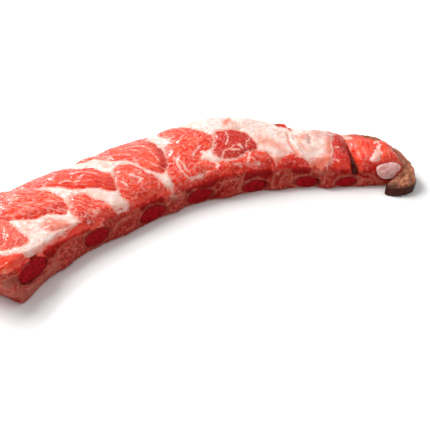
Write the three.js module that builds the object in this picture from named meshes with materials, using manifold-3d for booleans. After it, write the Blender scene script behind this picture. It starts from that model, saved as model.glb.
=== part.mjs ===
// A strip of raw ribs, sawn across the bones on both long sides, in millimetres, +Z up.
// The strip lies on its bone side. It bows in plan, is widest at the left, where it ends in a
// slanting cut, and tapers to a knuckle of lean with a disc of cartilage at the right.
// Seven rib bones run through the meat and show as ovals on the sawn faces.
import * as THREE from "three";
import { mergeVertices } from "three/addons/utils/BufferGeometryUtils.js";
import Module from "manifold-3d";

const wasm = await Module();
wasm.setup();

// Driving dimensions. Nine stations run from the left end to the right end. Each pairs a point on the
// foot of the front sawn face with one on the foot of the back face, and gives the heights between.
const STATIONS = [
  { front: [-1, 1.5], back: [-27, 59], frontHeight: 24.3, crown: 26, backHeight: 20 },
  { front: [22, 15.5], back: [0, 70], frontHeight: 19.8, crown: 25, backHeight: 20 },
  { front: [48, 25], back: [36, 79], frontHeight: 17.4, crown: 24.5, backHeight: 19 },
  { front: [80, 32], back: [72, 86], frontHeight: 16.9, crown: 25, backHeight: 20 },
  { front: [110, 36.5], back: [107, 91], frontHeight: 15.9, crown: 25, backHeight: 20 },
  { front: [142, 33], back: [145, 91], frontHeight: 17.9, crown: 26.5, backHeight: 21 },
  { front: [172, 24], back: [183, 74], frontHeight: 16.9, crown: 24.5, backHeight: 17.5 },
  { front: [202, 7], back: [215, 49], frontHeight: 15, crown: 21, backHeight: 16 },
  { front: [232, -8], back: [236.5, 24.5], frontHeight: 16.5, crown: 20, backHeight: 13 },
];
const CROWN_AT = 0.62; // share of the width where the top is highest
const FRONT_SHOULDER = 3.6; // radius where the top rolls into the front sawn face
const BACK_SHOULDER = 6;
const FACE_BULGE = 1.2; // how far the meat stands out of a sawn face
const END_LEAN = 11; // how far the top of the left cut overhangs its foot
const END_LEAN_REACH = 0.12; // share of the length over which that lean dies out
const FOLD_DEPTH = 2.5; // the fold of fat along the foot of the front face at the left corner
const FOLD_HEIGHT = 5;
const FOLD_REACH = 0.15;
const LOBE_SWELL = 1.9; // how far the meat between two bones swells out of a sawn face
const LOBE_TOP = 0.85; // share of the face's height at which that swelling ends
const HOLLOW_RISE = 2.4; // how far the underside rises between two bones
const HOLLOW_RIM = 12; // how far in from the sawn faces the hollow is that deep
const PAD_SHARE = 0.42; // share of the bone spacing that rests flat under each bone
const RIGHT_ROUNDING = { reach: 0.045, least: 0.28 }; // share of the length, and how small the end gets
const LEFT_ROUNDING = { reach: 0.02, least: 0.86 };
const CREVICE = { from: [206, 0], to: [217, 34], depth: 7, halfWidth: 3.6, deepUpTo: 14, shallowFrom: 36 };
const CREVICE_END_SHARE = 0.15; // how deep the crevice still is at the back

// Soft mounds and hollows in the top.
const MOUNDS = [
  { at: [156, 68], reach: 24, rise: 1.6 },
  { at: [152, 79], reach: 12, rise: 1.8 },
  { at: [172, 66], reach: 14, rise: 2.4 },
  { at: [197, 50], reach: 9, rise: -2.6 },
  { at: [190, 37], reach: 15, rise: 2.2 },
  { at: [221, 35], reach: 8, rise: -1.4 },
];

// The rib bones at the front sawn face: where they are along it, and the oval that the saw left.
const BONES = [
  { along: 9, across: 20, thick: 11, height: 13 },
  { along: 50, across: 15.5, thick: 9.2, height: 7.6 },
  { along: 86.5, across: 17.5, thick: 8.8, height: 5.6 },
  { along: 118.5, across: 16.5, thick: 8.4, height: 5.8 },
  { along: 152, across: 16, thick: 7.8, height: 5 },
  { along: 181.5, across: 15, thick: 7.2, height: 4.7 },
  { along: 201, across: 13, thick: 6.6, height: 4.4 },
];
const BONE_BACK_HEIGHT = 6.5; // height of each bone's centre at the back face
const BONE_BACK_SHARE = 0.82; // a rib is a little slimmer there
const BONE_PROUD = 0.2; // how far the bone ends stand out of the sawn faces
const SEAT_GAP = 0.3; // clearance between a bone and its seat in the meat
// The disc of cartilage is nearly flat above its centre and deep below it.
const CARTILAGE = {
  centre: [223.4, -3.2, 12],
  across: 7.3,
  up: 3,
  down: 7.2,
  depth: 13,
  facing: -112,
  proud: 1.6,
};

// The flap of flank that hangs round the right end and comes out under the knuckle in front.
const FLAP_PATH = [
  { at: [224, 32], half: 5.5, height: 12.5 },
  { at: [233.8, 25], half: 8.4, height: 14 },
  { at: [236.8, 11.5], half: 7.6, height: 13.8 },
  { at: [234.8, -4], half: 5.6, height: 12 },
  { at: [227.5, -13.2], half: 6.2, height: 8.5 },
  { at: [214.5, -10.5], half: 5.2, height: 6.5 },
];
const FLAP_STEPS = 26;
const FLAP_SIDES = 16;
const FLAP_FULLNESS = 0.8; // below 1, its section is fuller than an oval

// Sampling of the surface.
const LENGTH_STEPS = 74;
const FRONT_STEPS = 6;
const TOP_STEPS = 17;
const BACK_STEPS = 4;
const BOTTOM_STEPS = 8;
const BONE_SIDES = 14;
const BONE_STEPS = 7;

const clamp = (v, low, high) => Math.min(high, Math.max(low, v));
const smooth = (v) => v * v * (3 - 2 * v);
const mix = (a, b, t) => a + (b - a) * t;

// Smooth curves through the stations, all on the one parameter s from 0 at the left to 1 at the right.
const vectors = (key) => STATIONS.map((station) => new THREE.Vector2(...station[key]));
const heights = (key) => STATIONS.map((station, i) => new THREE.Vector2(i, station[key]));
const frontEdge = new THREE.SplineCurve(vectors("front"));
const backEdge = new THREE.SplineCurve(vectors("back"));
const frontHeight = new THREE.SplineCurve(heights("frontHeight"));
const crownHeight = new THREE.SplineCurve(heights("crown"));
const backHeight = new THREE.SplineCurve(heights("backHeight"));

// The s at which the front edge passes a given distance along the strip.
function shareAlong(along) {
  let low = 0;
  let high = 1;
  for (let i = 0; i < 40; i++) {
    const middle = (low + high) / 2;
    if (frontEdge.getPoint(middle).x < along) low = middle;
    else high = middle;
  }
  return low;
}

const boneShares = BONES.map((bone) => shareAlong(bone.along));

// 0 over the flat pad under a bone, rising to 1 midway between two bones.
function betweenBones(s) {
  const before = boneShares.filter((share) => share <= s).pop();
  const after = boneShares.find((share) => share > s);
  if (before === undefined || after === undefined) return 0;
  const nearest = Math.min(s - before, after - s) / (after - before);
  return smooth(clamp((2 * nearest - PAD_SHARE) / (1 - PAD_SHARE), 0, 1));
}

// Height of the top over share t of the width at s, before the shoulders are rounded.
function topHeight(s, t, x, y) {
  const crown = crownHeight.getPoint(s).y;
  const rising = t < CROWN_AT;
  const edge = rising ? frontHeight.getPoint(s).y : backHeight.getPoint(s).y;
  const fromCrown = rising ? 1 - t / CROWN_AT : (t - CROWN_AT) / (1 - CROWN_AT);
  const base = mix(crown, edge, fromCrown * fromCrown);
  return MOUNDS.reduce((height, each) => height + mound(each, x, y), base) - crevice(x, y);
}

function mound({ at, reach, rise }, x, y) {
  return rise * Math.exp(-(((x - at[0]) ** 2 + (y - at[1]) ** 2) / reach ** 2));
}

// The groove between the roll of fat and the knuckle.
function crevice(x, y) {
  const [x0, y0] = CREVICE.from;
  const length = Math.hypot(CREVICE.to[0] - x0, CREVICE.to[1] - y0);
  const ux = (CREVICE.to[0] - x0) / length;
  const uy = (CREVICE.to[1] - y0) / length;
  const aside = (x - x0) * uy - (y - y0) * ux;
  const fading = clamp((y - CREVICE.deepUpTo) / (CREVICE.shallowFrom - CREVICE.deepUpTo), 0, 1);
  const depth = CREVICE.depth * mix(1, CREVICE_END_SHARE, smooth(fading));
  return depth * Math.exp(-((aside / CREVICE.halfWidth) ** 2));
}

// How far a shoulder of that radius drops the top, at a distance in from its face.
function shoulderDrop(radius, distance) {
  const inside = clamp(radius - distance, 0, radius);
  return radius - Math.sqrt(radius ** 2 - inside ** 2);
}

// One closed section at s, as points in space: up the front, over the top, down the back, under.
function section(s) {
  const foot = frontEdge.getPoint(s);
  const heel = backEdge.getPoint(s);
  const width = foot.distanceTo(heel);
  const inward = heel.clone().sub(foot).divideScalar(width);
  const place = (w, z) => [foot.x + inward.x * w, foot.y + inward.y * w, z];
  const top = (w) => {
    const [x, y] = place(w);
    const raw = topHeight(s, w / width, x, y);
    return raw - shoulderDrop(FRONT_SHOULDER, w) - shoulderDrop(BACK_SHOULDER, width - w);
  };
  const lobe = betweenBones(s);
  const under = (w) => HOLLOW_RISE * lobe * smooth(clamp(Math.min(w, width - w) / HOLLOW_RIM, 0, 1));
  const fold = (z) => FOLD_DEPTH * Math.exp(-((z / FOLD_HEIGHT) ** 2)) * clamp(1 - s / FOLD_REACH, 0, 1);
  const bulge = (v) => {
    const swell = LOBE_SWELL * lobe * smooth(clamp(2 - (2 * v) / LOBE_TOP, 0, 1));
    return FACE_BULGE * Math.sin(Math.PI * v) + swell;
  };
  const ring = [];
  for (let i = 0; i < FRONT_STEPS; i++) {
    const v = i / FRONT_STEPS;
    const z = top(0) * v;
    ring.push(place(-bulge(v) - fold(z), z));
  }
  for (let i = 0; i < TOP_STEPS; i++) {
    // The samples crowd towards the two shoulders.
    const t = (1 - Math.cos((Math.PI * i) / TOP_STEPS)) / 2;
    const w = width * mix(i / TOP_STEPS, t, 0.55);
    ring.push(place(w, top(w)));
  }
  for (let i = 0; i < BACK_STEPS; i++) {
    const v = i / BACK_STEPS;
    ring.push(place(width + bulge(1 - v), top(width) * (1 - v)));
  }
  // The foot of the back face starts the underside, which ends where the front face began.
  ring.push(place(width + bulge(0), 0));
  for (let i = 1; i < BOTTOM_STEPS; i++) {
    const w = width * (1 - i / BOTTOM_STEPS);
    ring.push(place(w, under(w)));
  }
  return leaned(roundedOff(ring, s), s);
}

// The left cut leans out at the top: its points move along the strip by their height.
function leaned(ring, s) {
  const direction = frontEdge.getTangent(0);
  const share = clamp(1 - s / END_LEAN_REACH, 0, 1) ** 2;
  return ring.map(([x, y, z]) => {
    const shift = (END_LEAN * share * z) / STATIONS[0].frontHeight;
    return [x - direction.x * shift, y - direction.y * shift, z];
  });
}

// Sections near an end shrink towards a point low on their middle: a soft edge at the left, a nose at
// the right.
function roundedOff(ring, s) {
  const rounding = s < 0.5 ? LEFT_ROUNDING : RIGHT_ROUNDING;
  const fromEnd = Math.min(s, 1 - s);
  const into = clamp(1 - fromEnd / rounding.reach, 0, 1);
  const scale = mix(rounding.least, 1, Math.sqrt(1 - into ** 2));
  const middle = frontEdge.getPoint(s).lerp(backEdge.getPoint(s), 0.45);
  const level = crownHeight.getPoint(s).y * 0.4;
  return ring.map(([x, y, z]) => [mix(middle.x, x, scale), mix(middle.y, y, scale), mix(level, z, scale)]);
}

// A closed skin over a row of rings with the same count of points, with a fan at each end.
function skin(rings) {
  const count = rings[0].length;
  const points = rings.flat();
  const faces = [];
  for (let i = 0; i + 1 < rings.length; i++) {
    for (let j = 0; j < count; j++) {
      const a = i * count + j;
      const b = i * count + ((j + 1) % count);
      faces.push(a, a + count, b, b, a + count, b + count);
    }
  }
  for (const [ring, flip] of [[0, false], [rings.length - 1, true]]) {
    const centre = points.length;
    const total = rings[ring].reduce((sum, p) => sum.map((v, k) => v + p[k]), [0, 0, 0]);
    points.push(total.map((v) => v / count));
    for (let j = 0; j < count; j++) {
      const a = ring * count + j;
      const b = ring * count + ((j + 1) % count);
      faces.push(centre, flip ? b : a, flip ? a : b);
    }
  }
  const geometry = new THREE.BufferGeometry();
  geometry.setAttribute("position", new THREE.Float32BufferAttribute(points.flat(), 3));
  geometry.setIndex(faces);
  return geometry;
}

// A three.js geometry as a solid that can be joined and cut, and back again.
function solidOf(geometry) {
  const bare = geometry.clone();
  bare.deleteAttribute("normal");
  bare.deleteAttribute("uv");
  const merged = mergeVertices(bare, 1e-4);
  return new wasm.Manifold(
    new wasm.Mesh({
      numProp: 3,
      vertProperties: merged.attributes.position.array,
      triVerts: new Uint32Array(merged.index.array),
    }),
  );
}

function geometryOf(solid) {
  const mesh = solid.getMesh();
  const geometry = new THREE.BufferGeometry();
  geometry.setAttribute("position", new THREE.BufferAttribute(mesh.vertProperties, mesh.numProp));
  geometry.setIndex(new THREE.BufferAttribute(mesh.triVerts, 1));
  geometry.computeVertexNormals();
  return geometry;
}

// The slab itself, with its sections closer together towards both ends.
function slab() {
  const rings = [];
  for (let i = 0; i <= LENGTH_STEPS; i++) {
    const share = i / LENGTH_STEPS;
    rings.push(section(mix(share, (1 - Math.cos(Math.PI * share)) / 2, 0.5)));
  }
  return skin(rings);
}

// A rib bone as an oval bar from the front sawn face to the back one, larger all round by grow.
function boneBar(bone, share, grow, reach) {
  const foot = frontEdge.getPoint(share);
  const heel = backEdge.getPoint(share);
  const width = foot.distanceTo(heel);
  const inward = heel.clone().sub(foot).divideScalar(width);
  const sideways = new THREE.Vector2(inward.y, -inward.x);
  const rings = [];
  // The seat and the bone share their inner sections, so the gap between them stays even.
  const across = Array.from({ length: BONE_STEPS + 1 }, (_, i) => (width * i) / BONE_STEPS);
  for (const w of [-reach, ...across, width + reach]) {
    const v = clamp(w / width, 0, 1);
    const size = mix(1, BONE_BACK_SHARE, v);
    const z = mix(bone.height, Math.min(bone.height, BONE_BACK_HEIGHT), smooth(v));
    const ring = [];
    for (let j = 0; j < BONE_SIDES; j++) {
      const angle = (2 * Math.PI * j) / BONE_SIDES;
      const aside = ((bone.across / 2) * size + grow) * Math.cos(angle);
      const up = ((bone.thick / 2) * size + grow) * Math.sin(angle);
      const x = foot.x + inward.x * w + sideways.x * aside;
      const y = foot.y + inward.y * w + sideways.y * aside;
      ring.push([x, y, z + up]);
    }
    rings.push(ring);
  }
  return skin(rings);
}

// The plug of cartilage in the knuckle: an oval rod that stands a little out of the sawn face.
function cartilagePlug(grow) {
  const { centre, across, up, down, depth, facing, proud } = CARTILAGE;
  const plug = new THREE.CylinderGeometry(1, 1, depth + grow, 26, 1);
  plug.rotateZ(-Math.PI / 2);
  plug.translate(proud + grow - (depth + grow) / 2, 0, 0);
  plug.scale(1, across + grow, 1);
  const spots = plug.attributes.position;
  for (let i = 0; i < spots.count; i++) {
    const z = spots.getZ(i);
    spots.setZ(i, z * ((z > 0 ? up : down) + grow));
  }
  plug.rotateZ(THREE.MathUtils.degToRad(facing));
  plug.translate(...centre);
  return plug;
}

// The flap is a thick roll along its path, round on top and flat where it lies.
function flankFlap() {
  const path = new THREE.SplineCurve(FLAP_PATH.map(({ at }) => new THREE.Vector2(...at)));
  const halves = new THREE.SplineCurve(FLAP_PATH.map(({ half }, i) => new THREE.Vector2(i, half)));
  const tops = new THREE.SplineCurve(FLAP_PATH.map(({ height }, i) => new THREE.Vector2(i, height)));
  const rings = [];
  for (let i = 0; i <= FLAP_STEPS; i++) {
    const share = i / FLAP_STEPS;
    const s = mix(0.02, 0.98, share);
    const centre = path.getPoint(s);
    const along = path.getTangent(s);
    const taper = Math.sqrt(clamp(1 - (2 * share - 1) ** 8, 0.03, 1));
    const ring = [];
    for (let j = 0; j < FLAP_SIDES; j++) {
      const angle = (2 * Math.PI * j) / FLAP_SIDES;
      const [out, up] = [Math.cos(angle), Math.sin(angle)];
      const aside = halves.getPoint(s).y * taper * Math.sign(out) * Math.abs(out) ** FLAP_FULLNESS;
      const z = tops.getPoint(s).y * taper * clamp(0.4 + 0.6 * Math.sign(up) * Math.abs(up) ** 0.8, 0, 1);
      ring.push([centre.x + along.y * aside, centre.y - along.x * aside, z]);
    }
    rings.push(ring);
  }
  return skin(rings);
}

function meat() {
  let solid = solidOf(slab()).add(solidOf(flankFlap()));
  BONES.forEach((bone, i) => {
    solid = solid.subtract(solidOf(boneBar(bone, boneShares[i], SEAT_GAP, BONE_PROUD + 6)));
  });
  return geometryOf(solid.subtract(solidOf(cartilagePlug(SEAT_GAP))));
}

function finish(color, roughness) {
  return new THREE.MeshStandardMaterial({ color, roughness, metalness: 0 });
}

function named(name, geometry, material) {
  const mesh = new THREE.Mesh(geometry, material);
  mesh.name = name;
  return mesh;
}

const ribs = new THREE.Group();
ribs.add(named("meat", meat(), finish(0xd8554a, 0.4)));
BONES.forEach((bone, i) => {
  const bar = boneBar(bone, boneShares[i], 0, BONE_PROUD + FACE_BULGE);
  ribs.add(named(`rib_bone_${i + 1}`, bar, finish(0x7a1419, 0.45)));
});
ribs.add(named("cartilage", cartilagePlug(0), finish(0xd9aba6, 0.35)));

// The origin is under the middle of the strip, at the level it rests on.
const extent = new THREE.Box3().setFromObject(ribs);
ribs.position.set(
  -(extent.min.x + extent.max.x) / 2,
  -(extent.min.y + extent.max.y) / 2,
  -extent.min.z,
);

export default ribs;
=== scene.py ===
# The looks of a strip of raw ribs: marbled lean and fat, sawn bone ends, gristle and flank skin.
# Shapes are worked out in the strip's own millimetres, whose origin is the foot of its front left
# corner, and are moved into the part's frame, in metres, when a mesh is written.
import math

import bmesh
import bpy
import numpy as np
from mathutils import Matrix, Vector, noise
from mathutils.bvhtree import BVHTree
from mathutils.kdtree import KDTree


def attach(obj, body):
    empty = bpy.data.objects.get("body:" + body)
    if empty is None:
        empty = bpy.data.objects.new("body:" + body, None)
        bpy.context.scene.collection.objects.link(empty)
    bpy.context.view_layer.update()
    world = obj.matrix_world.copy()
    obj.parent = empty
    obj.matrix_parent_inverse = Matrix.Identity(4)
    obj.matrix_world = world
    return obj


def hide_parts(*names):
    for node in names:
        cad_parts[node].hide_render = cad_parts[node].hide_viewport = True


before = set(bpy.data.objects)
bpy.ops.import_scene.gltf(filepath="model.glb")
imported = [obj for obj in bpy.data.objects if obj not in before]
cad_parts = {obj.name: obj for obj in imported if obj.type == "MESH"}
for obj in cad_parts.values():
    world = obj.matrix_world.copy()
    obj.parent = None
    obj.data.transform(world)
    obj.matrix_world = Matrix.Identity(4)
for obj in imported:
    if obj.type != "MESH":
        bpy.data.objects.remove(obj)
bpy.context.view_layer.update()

MM = 0.001
STRIP_ORIGIN = np.array([-106.517, -37.798, 0.0])  # where the strip's origin lies in the part, in mm
RIBS = [f"rib_bone_{i}" for i in range(1, 8)]

# The photograph's view, in strip millimetres: where the camera stands and the way it looks.
CAMERA_STAND = (-77.8, -300.5, 236.0)
CAMERA_HEADING = (0.5231, 0.8522)
CAMERA_DROP = math.radians(32.0)
FRAME_PIXELS = 430
FOCAL_PIXELS = 800.0
SENSOR_MM = 36.0

# How finely each piece is meshed, and how the bones and the gristle sit in the meat, in mm.
MEAT_VOXEL = 0.82
BONE_VOXEL = 0.85
GRISTLE_VOXEL = 0.4
SEAT_GAP = 0.05  # how far a seat stands off its piece, before a bone swells
BONE_SWELL = 0.2  # how far the bones' sides swell into the meat, so that no gap shows
SEAT_REACH = 4.0  # how far a seat's cutter reaches out of the sawn face
SEAT_SHARE = 0.4  # the share of a bone's faces that its seat keeps
BONE_WOBBLE = 0.9  # how uneven the outline of a sawn bone is
BONE_SUNK = 0.2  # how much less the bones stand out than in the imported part
RIB_PLUG_INSET = 0.8  # how far the bones' seats stay open at the faces while the skin is made
GRISTLE_PLUG_INSET = 2.4  # the same for the gristle, whose seat is deeper
PIT_HEIGHT = 0.20  # how far the pits of a sawn end go up and down
RIM_WEAR = 0.18  # how much its rim is worn down

# How far the skin of the meat stands out or sinks in, in mm. LUMPS has the height, width and seed
# of the lumps that lie all over it.
LUMPS = ((0.55, 14, 1), (0.32, 5.5, 2), (0.13, 2.4, 3))
GRAIN_HEIGHT = 0.16
MUSCLE_SWELL = 0.8
SEAM_DEPTH = 0.4
EDGE_LUMPS = 0.8
PAD_HEIGHT = 0.4
GROOVE_LIP = 1.0
GROOVE_DEPTH = 1.5
CREASE_DEPTH = 1.6
FLANK_LUMPS = 0.6
LOBE_SWELL = 0.5
WEDGE_DEPTH = 0.9
FASCIA_HEIGHT = 0.35

# The stretch of the strip that the sawn faces are measured over, how far apart, and how far from
# what is drawn on a face its distance is still told, in mm.
FACE_SPAN = (-34, 236)
FACE_STEP = 4.0
FACE_REACH = 6.0

# Where the fat rolls softly over the front edge, at the cap's front and between the third and
# fourth bones: the place along the strip and its spread in mm, and the shares of the face's height
# at which it starts and is full.
SOFT_ROLLS = ((189, 8, 0.72, 0.98), (100, 4.5, 0.5, 0.85))

# The muscles that show on the top, as outlines in strip millimetres. heading is the way the fibres
# run in degrees, swirl a centre that they run round, streaks how much fat is drawn out along them,
# net how much fine marbling there is, and depth how dark the lean is.
MUSCLES = {
    "left_streaky": dict(
        outline=[(-40, 46), (-34, 62), (-20, 70), (-4, 73), (8, 74), (18, 72), (26, 67.5), (31, 60.5),
                 (37, 54), (39.5, 49.5), (41, 44), (41, 38.5), (40, 35), (36.5, 33.5), (30, 36),
                 (23, 34.5), (15, 36), (6, 38.5), (-3, 42), (-16, 45), (-28, 42)],
        heading=-28, streaks=0.9, net=0.25, depth=0.2),
    "upper_long": dict(
        outline=[(22, 71), (27, 77), (38, 80), (50, 78), (57, 72.5), (61, 68), (64.5, 66.5), (68, 62.5),
                 (70.5, 57.5), (73.5, 54), (72.5, 48.5), (71, 42.5), (68, 41.5), (62.5, 45.5),
                 (58, 48), (50.5, 50.5), (44, 55), (37, 58), (31, 61.5), (27, 68)],
        heading=-30, streaks=0.2, net=0.15, depth=0.65),
    "back_long": dict(
        outline=[(48, 84), (60, 82), (68, 76), (76, 81), (74, 88), (62, 90)],
        heading=-20, streaks=0.7, net=0.2, depth=0.3),
    "striated": dict(
        outline=[(45, 43.5), (48.5, 45), (52.5, 45), (54.5, 42.5), (56.5, 38.5), (60.5, 35.5),
                 (62.5, 32), (62.5, 28.5), (58.5, 27), (53.5, 25.5), (49, 24.5), (44.5, 25.5),
                 (43, 27), (42, 30), (41.5, 34.5), (43.5, 39.5)],
        heading=-33, streaks=1.0, net=0.2, depth=0.45),
    "faint": dict(
        outline=[(23.5, 28.5), (29, 31), (32.5, 29.5), (35.5, 27), (36.5, 25), (33, 24), (26.5, 23),
                 (23.5, 26)],
        heading=-30, streaks=0.8, net=0.0, depth=-0.6),
    "front_edge": dict(
        outline=[(-14, 9), (-5, 10), (2.5, 10), (7, 9), (10.5, 8.5), (16, 12), (20, 15),
                 (25, 17), (29.5, 20), (34, 22), (40, 24), (45, 26), (51, 25), (44, 20),
                 (38, 17), (28.5, 12), (19.5, 8), (10, 1), (0.5, -6), (-14, -8), (-17, 2)],
        heading=28, streaks=0.35, net=0.0, depth=0.15),
    "left_corner": dict(
        outline=[(-20, 39), (4, 39), (8.5, 37), (10, 31.5), (11.5, 26), (13, 21.5), (12.5, 18),
                 (9.5, 15.5), (4.5, 15), (0.5, 14.5), (-8, 14.5), (-22, 18), (-25, 30)],
        heading=60, streaks=0.35, net=0.7, depth=-0.1),
    "round": dict(
        outline=[(80, 59.5), (84.5, 59.5), (88, 57), (90, 52.5), (92.5, 48.5), (95, 45.5), (96.5, 41.5),
                 (97.5, 38.5), (98, 36.5), (99.5, 35.5), (98, 32), (91, 32), (86, 32), (81, 32),
                 (76, 32), (72.5, 34.5), (72, 39), (72.5, 44), (74, 50), (76.5, 55.5)],
        heading=0, swirl=(84, 46), streaks=0.5, net=0.45, depth=0.5),
    "crest": dict(
        outline=[(74.5, 76), (77, 84), (88, 91), (100, 95), (110, 94), (113, 86), (108, 81),
                 (109, 74), (109.5, 67.5), (110, 62.5), (108.5, 56), (105.5, 49.5), (101, 46.5),
                 (98.5, 47), (95, 50), (92.5, 53.5), (90.5, 59), (86.5, 63.5), (80.5, 66.5),
                 (76.5, 71.5)],
        heading=-35, swirl=(60, 20), streaks=0.3, net=0.0, depth=0.0),
    "netted": dict(
        outline=[(118, 80.5), (121, 90), (130, 91), (133, 80), (136, 72), (139.5, 65), (141, 59.5),
                 (138.5, 54.5), (135.5, 51.5), (131.5, 51.5), (128.5, 53), (128.5, 50.5),
                 (126, 47.5), (128, 45), (131, 42), (131.5, 39), (129, 38), (124, 39), (122, 34),
                 (117, 32.5), (109, 32.5), (104, 34), (103.5, 40), (104, 43.5), (105, 48.5),
                 (108, 54), (111, 60.5), (114, 66), (118.5, 67), (119, 72.5)],
        heading=20, streaks=0.25, net=1.0, depth=0.45),
    "dark": dict(
        outline=[(145.5, 62.5), (151, 60.5), (156, 58), (160.5, 53.5), (161.5, 48), (161.5, 42.5),
                 (158, 39.5), (154.5, 41.5), (150, 40), (146, 38.5), (140, 40.5), (137.5, 42.5),
                 (135, 45.5), (136, 49), (140, 53.5)],
        heading=-40, streaks=0.2, net=0.35, depth=1.15),
    "beside_dark": dict(
        outline=[(140, 38.5), (149.5, 38), (152, 40), (156, 40), (161.5, 37.5), (164, 35),
                 (164.5, 31.5), (164, 27), (160.5, 25), (157, 26), (151.5, 28), (147, 29.5),
                 (143.5, 33), (139.5, 36)],
        heading=-50, streaks=0.35, net=0.3, depth=0.7),
    "front_mid": dict(
        outline=[(126, 44.5), (130, 41), (135.5, 41), (139, 38.5), (140.5, 36), (144, 33),
                 (144, 28), (136.5, 29), (128, 31), (118, 31), (112, 31), (119, 36), (124, 37.5),
                 (127, 38.5)],
        heading=10, streaks=0.4, net=0.6, depth=0.4),
    "right_patch": dict(
        outline=[(165, 26), (169, 28), (173.5, 29), (177, 28), (179.5, 24.5), (182, 20), (182, 15),
                 (176, 15), (170, 18), (165, 21)],
        heading=-60, streaks=0.5, net=0.1, depth=0.8),
    "before_crevice": dict(
        outline=[(210, 32), (206, 27), (202.5, 24.5), (201, 20), (197.5, 17), (195, 13.5),
                 (191, 13.5), (187, 14.5), (186, 8), (192, 4), (196, 1), (203, 0), (207, 9), (210, 17),
                 (211, 23), (212, 30)],
        heading=60, streaks=0.2, net=0.15, depth=1.1),
    "shred": dict(
        outline=[(183.5, 56), (186, 60), (191, 61), (193.5, 57), (192, 52), (190.5, 48.5), (189.5, 48.5),
                 (190, 53), (188.5, 56)],
        heading=-20, streaks=0.2, net=0.0, depth=0.5),
    "knuckle": dict(
        outline=[(212, 42), (213, 30), (209, 18), (205, 8), (206, -8), (222, -18), (238, -16),
                 (248, 0), (248, 20), (240, 36), (226, 42)],
        heading=65, streaks=0.25, net=0.25, depth=0.3),
    "back_mid": dict(
        outline=[(146, 84), (156, 80), (168, 76), (176, 72), (184, 70), (184, 84), (160, 96),
                 (146, 98)],
        heading=-40, streaks=0.5, net=0.3, depth=0.5),
    "cut_end": dict(
        outline=[(-48, 44), (-48, 66), (-34, 66), (-30, 58), (-32, 46)],
        heading=60, streaks=0.4, net=0.5, depth=0.4),
}

# Drawn-out lines of fat inside the muscles: points in strip mm, and half the width.
FAT_LINES = [
    ([(53.5, 64), (58, 63), (62, 61), (66, 56.5)], 0.5),
    ([(45.5, 57.5), (49, 58), (52, 55.5), (55.5, 55)], 0.35),
    ([(82, 50.5), (83.5, 47.5), (87, 44.5), (83, 42)], 0.5),
    ([(85, 50.5), (87.5, 52), (89.5, 50.5), (88, 48.5), (85.5, 48.5)], 0.45),
    ([(75.5, 46), (77, 43.5), (77, 41)], 0.35),
    ([(102.5, 64), (103.5, 59), (103, 55)], 0.45),
    ([(86.5, 60), (89, 56.5), (92, 52.5), (94.5, 49)], 0.6),
    ([(112.5, 54), (111.5, 46), (111.5, 41.5), (113, 39), (115.5, 38), (119.5, 38), (122, 38)], 0.5),
    ([(113.5, 52), (114.5, 48.5), (114.5, 45), (114.5, 42)], 0.4),
    ([(130, 55.5), (126, 53.5), (123, 50.5)], 0.5),
    ([(138.5, 58.5), (138, 53.5), (135.5, 50.5)], 0.3),
    ([(137.5, 42.5), (141, 46), (144.5, 46), (146.5, 44), (150, 43)], 0.45),
    ([(145, 45.5), (148.5, 47.5), (152, 46), (151.5, 42)], 0.4),
    ([(140, 40), (144.5, 38.5), (149, 39.5)], 0.5),
    ([(150, 58.5), (148, 53), (144.5, 49.5)], 0.3),
    ([(154.5, 43), (156.5, 46.5), (159.5, 48)], 0.3),
    ([(154.5, 39.5), (152, 36.5), (149.5, 34)], 0.6),
    ([(148, 33.5), (151.5, 32.5), (155.5, 31.5)], 0.6),
    ([(132.5, 42), (133, 39), (131.5, 38.5)], 0.5),
    ([(141, 37), (142.5, 35.5), (145, 34)], 0.5),
    ([(51.5, 31.5), (53, 29.5), (55, 31)], 0.4),
    ([(89.5, 75.5), (94, 75.5), (98.5, 73.5), (102, 71), (104, 67)], 0.3),
    ([(76.5, 69.5), (82, 70.5), (87.5, 69.5), (91, 66)], 0.3),
    ([(91, 72), (95.5, 70.5), (98.5, 67)], 0.15),
    ([(90, 63.5), (94, 60), (97.5, 55), (100, 51)], 0.2),
    ([(202, 23), (204, 20)], 0.2),
    ([(196, 15), (198, 12)], 0.2),
]

# Pads of white fat that lie on the knuckle, as outlines in strip mm.
FAT_PADS = [
    [(226.5, 14), (228.5, 12.5), (226.5, 10), (227, 8), (224.5, 6.5), (223.5, 4.5), (224, 3), (221, 2.5),
     (219.5, 0.5), (216, 1.5), (215, 3.5), (217.5, 4.5), (217, 6), (219.5, 5.5), (221, 7.5), (222.5, 6.5),
     (224, 9), (226, 9.5), (225, 12)],
    [(218.5, 36), (220, 30.5), (219.5, 25), (217.5, 25), (216.5, 27.5), (216, 32)],
]

# Where the fat is flushed with pink: points in strip mm, the reach, and how strongly.
BLUSHES = [
    ([(180, 36.5), (179, 30.5), (179, 25), (180, 21)], 1.1, 0.8),
    ([(187, 39), (185.5, 34), (185, 26.5)], 0.8, 0.6),
    ([(188, 35.5), (191.5, 36.5)], 1.6, 0.7),
    ([(154.5, 66), (159, 70)], 2.2, 0.9),
    ([(166, 44), (169.5, 41), (173, 35.5), (174, 31)], 3.2, 0.5),
    ([(163.5, 30), (169, 28), (174, 26.5)], 2.5, 0.7),
    ([(181, 18), (188, 16.5), (194, 16)], 3.4, 0.95),
    ([(206, 31), (202, 27), (198.5, 21), (195, 17.5)], 2.4, 0.75),
    ([(169.5, 38.5), (171.5, 36), (173, 33.5)], 1.6, 0.55),
    ([(190, 38.5), (192, 36)], 1.3, 0.6),
    ([(183.5, 43.5), (180.5, 37), (179.5, 31.5), (180, 23.5)], 0.9, 0.7),
    ([(118, 78), (140, 88), (160, 80)], 2.0, 0.25),
    ([(198, 40), (205, 38), (212, 36)], 5.0, 0.45),
]

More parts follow.
